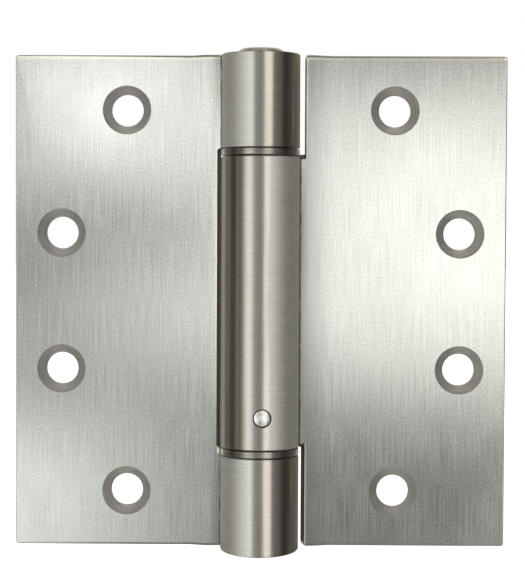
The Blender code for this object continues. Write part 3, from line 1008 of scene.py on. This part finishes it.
def make_world():
    """A studio of soft panels in front, an even glow behind, and a pale ground and ceiling."""
    world = bpy.data.worlds.new("studio")
    bpy.context.scene.world = world
    world.use_nodes = True
    g = Graph(world.node_tree)
    ray = g.add("ShaderNodeSeparateXYZ")
    g.feed(ray.inputs[0], g.add("ShaderNodeTexCoord").outputs["Generated"])
    x, y, z = ray.outputs
    degree = 180 / pi
    azimuth = g.math("MULTIPLY", g.math("ARCTAN2", x, g.math("MULTIPLY", y, -1.0)), degree)
    elevation = g.math("MULTIPLY", g.math("ARCSINE", z), degree)

    # in front, a low level that the panels stand out from; behind, an even glow
    level = g.ramp(azimuth, -60.0, 20.0, 0.075, 0.2)
    level = g.math("SUBTRACT", level, g.ramp(azimuth, 30.0, 62.0, 0.0, 0.15))
    for panel in PANELS.values():
        level = g.math("ADD", level, panel_light(g, azimuth, elevation, panel))
    behind = g.ramp(g.math("ABSOLUTE", azimuth), 118.0, 150.0)
    level = g.blend(behind, level, g.ramp(elevation, -14.0, 16.0, 0.38, 1.0))
    level = g.math("ADD", level, g.ramp(elevation, -40.0, -70.0, 0.0, 0.2))

    # slightly green from the left, cream from the right, and warm from the sides
    lighting = g.add("ShaderNodeBackground")
    warmth = g.tint(g.ramp(azimuth, -12.0, 12.0), (0.965, 1.0, 0.975), (1.0, 0.985, 0.935))
    aside = g.ramp(g.math("ABSOLUTE", azimuth), 40.0, 62.0)
    warmth = g.tint(aside, warmth, (1.0, 0.94, 0.84))
    g.feed(lighting.inputs["Color"], warmth)
    g.feed(lighting.inputs["Strength"], level)
    # the camera sees plain white behind the hinge
    backdrop = g.add("ShaderNodeBackground")
    g.feed(backdrop.inputs["Color"], (1.0, 1.0, 1.0, 1.0))
    chosen = g.add("ShaderNodeMixShader")
    g.feed(chosen.inputs[0], g.add("ShaderNodeLightPath").outputs["Is Camera Ray"])
    g.feed(chosen.inputs[1], lighting.outputs[0])
    g.feed(chosen.inputs[2], backdrop.outputs[0])
    output = world.node_tree.nodes["World Output"]
    g.feed(output.inputs["Surface"], chosen.outputs[0])


def make_floor():
    bm = bmesh.new()
    bmesh.ops.create_grid(bm, x_segments=1, y_segments=1, size=FLOOR_REACH)
    mesh = mesh_from(bm, "floor")
    material = bpy.data.materials.new("floor")
    material.use_nodes = True
    shader = material.node_tree.nodes["Principled BSDF"]
    shader.inputs["Base Color"].default_value = (0.93, 0.93, 0.92, 1.0)
    shader.inputs["Roughness"].default_value = 0.9
    shader.inputs["Emission Color"].default_value = (1.0, 1.0, 1.0, 1.0)
    shader.inputs["Emission Strength"].default_value = 0.9
    mesh.materials.append(material)
    floor = link(bpy.data.objects.new("floor", mesh))
    floor.location = (0, 0, FLOOR_HEIGHT)
    floor.visible_glossy = False


# --- build --------------------------------------------------------------------------------------
make_camera()
make_world()
make_floor()

hole_steel = turned_metal(
    "countersink_steel", (0.56, 0.55, 0.53), (0.77, 0.76, 0.735), 0.50, 0.16 * MM, "Y"
)
leaf_materials = [leaf_steel(), barrel_steel(), hole_steel, painted_shade_edge_steel()]
ring_steel = turned_metal(
    "ring_steel",
    (0.34, 0.315, 0.28),
    (0.52, 0.49, 0.45),
    0.36,
    0.2 * MM,
    depth=0.004 * MM,
    sheen=0.9,
)
turned_steel = turned_metal(
    "turned_steel",
    (0.46, 0.43, 0.385),
    (0.60, 0.57, 0.52),
    0.34,
    0.2 * MM,
    depth=0.003 * MM,
    sheen=0.9,
)
bright_steel = hammered_steel()
spring_steel = turned_metal("spring_steel", (0.13, 0.13, 0.14), (0.24, 0.24, 0.25), 0.40, 0.4 * MM)
bronze = turned_metal("bronze", (0.44, 0.29, 0.13), (0.60, 0.42, 0.21), 0.38, 0.25 * MM)

make_jamb_leaf(leaf_materials)
make_door_leaf(leaf_materials)
make_ring("upper_thrust_ring", "upper_ring", 1, ring_steel)
make_ring("lower_thrust_ring", "lower_ring", -1, ring_steel)
make_top_plug(turned_steel)
make_winder(turned_steel)
make_bush("upper_bush", "door", bronze)
make_bush("lower_bush", "jamb", bronze)
make_lock_pin(bright_steel)
make_anchor_pin(turned_steel)
make_spring(spring_steel)

bpy.context.scene.view_settings.view_transform = "Standard"
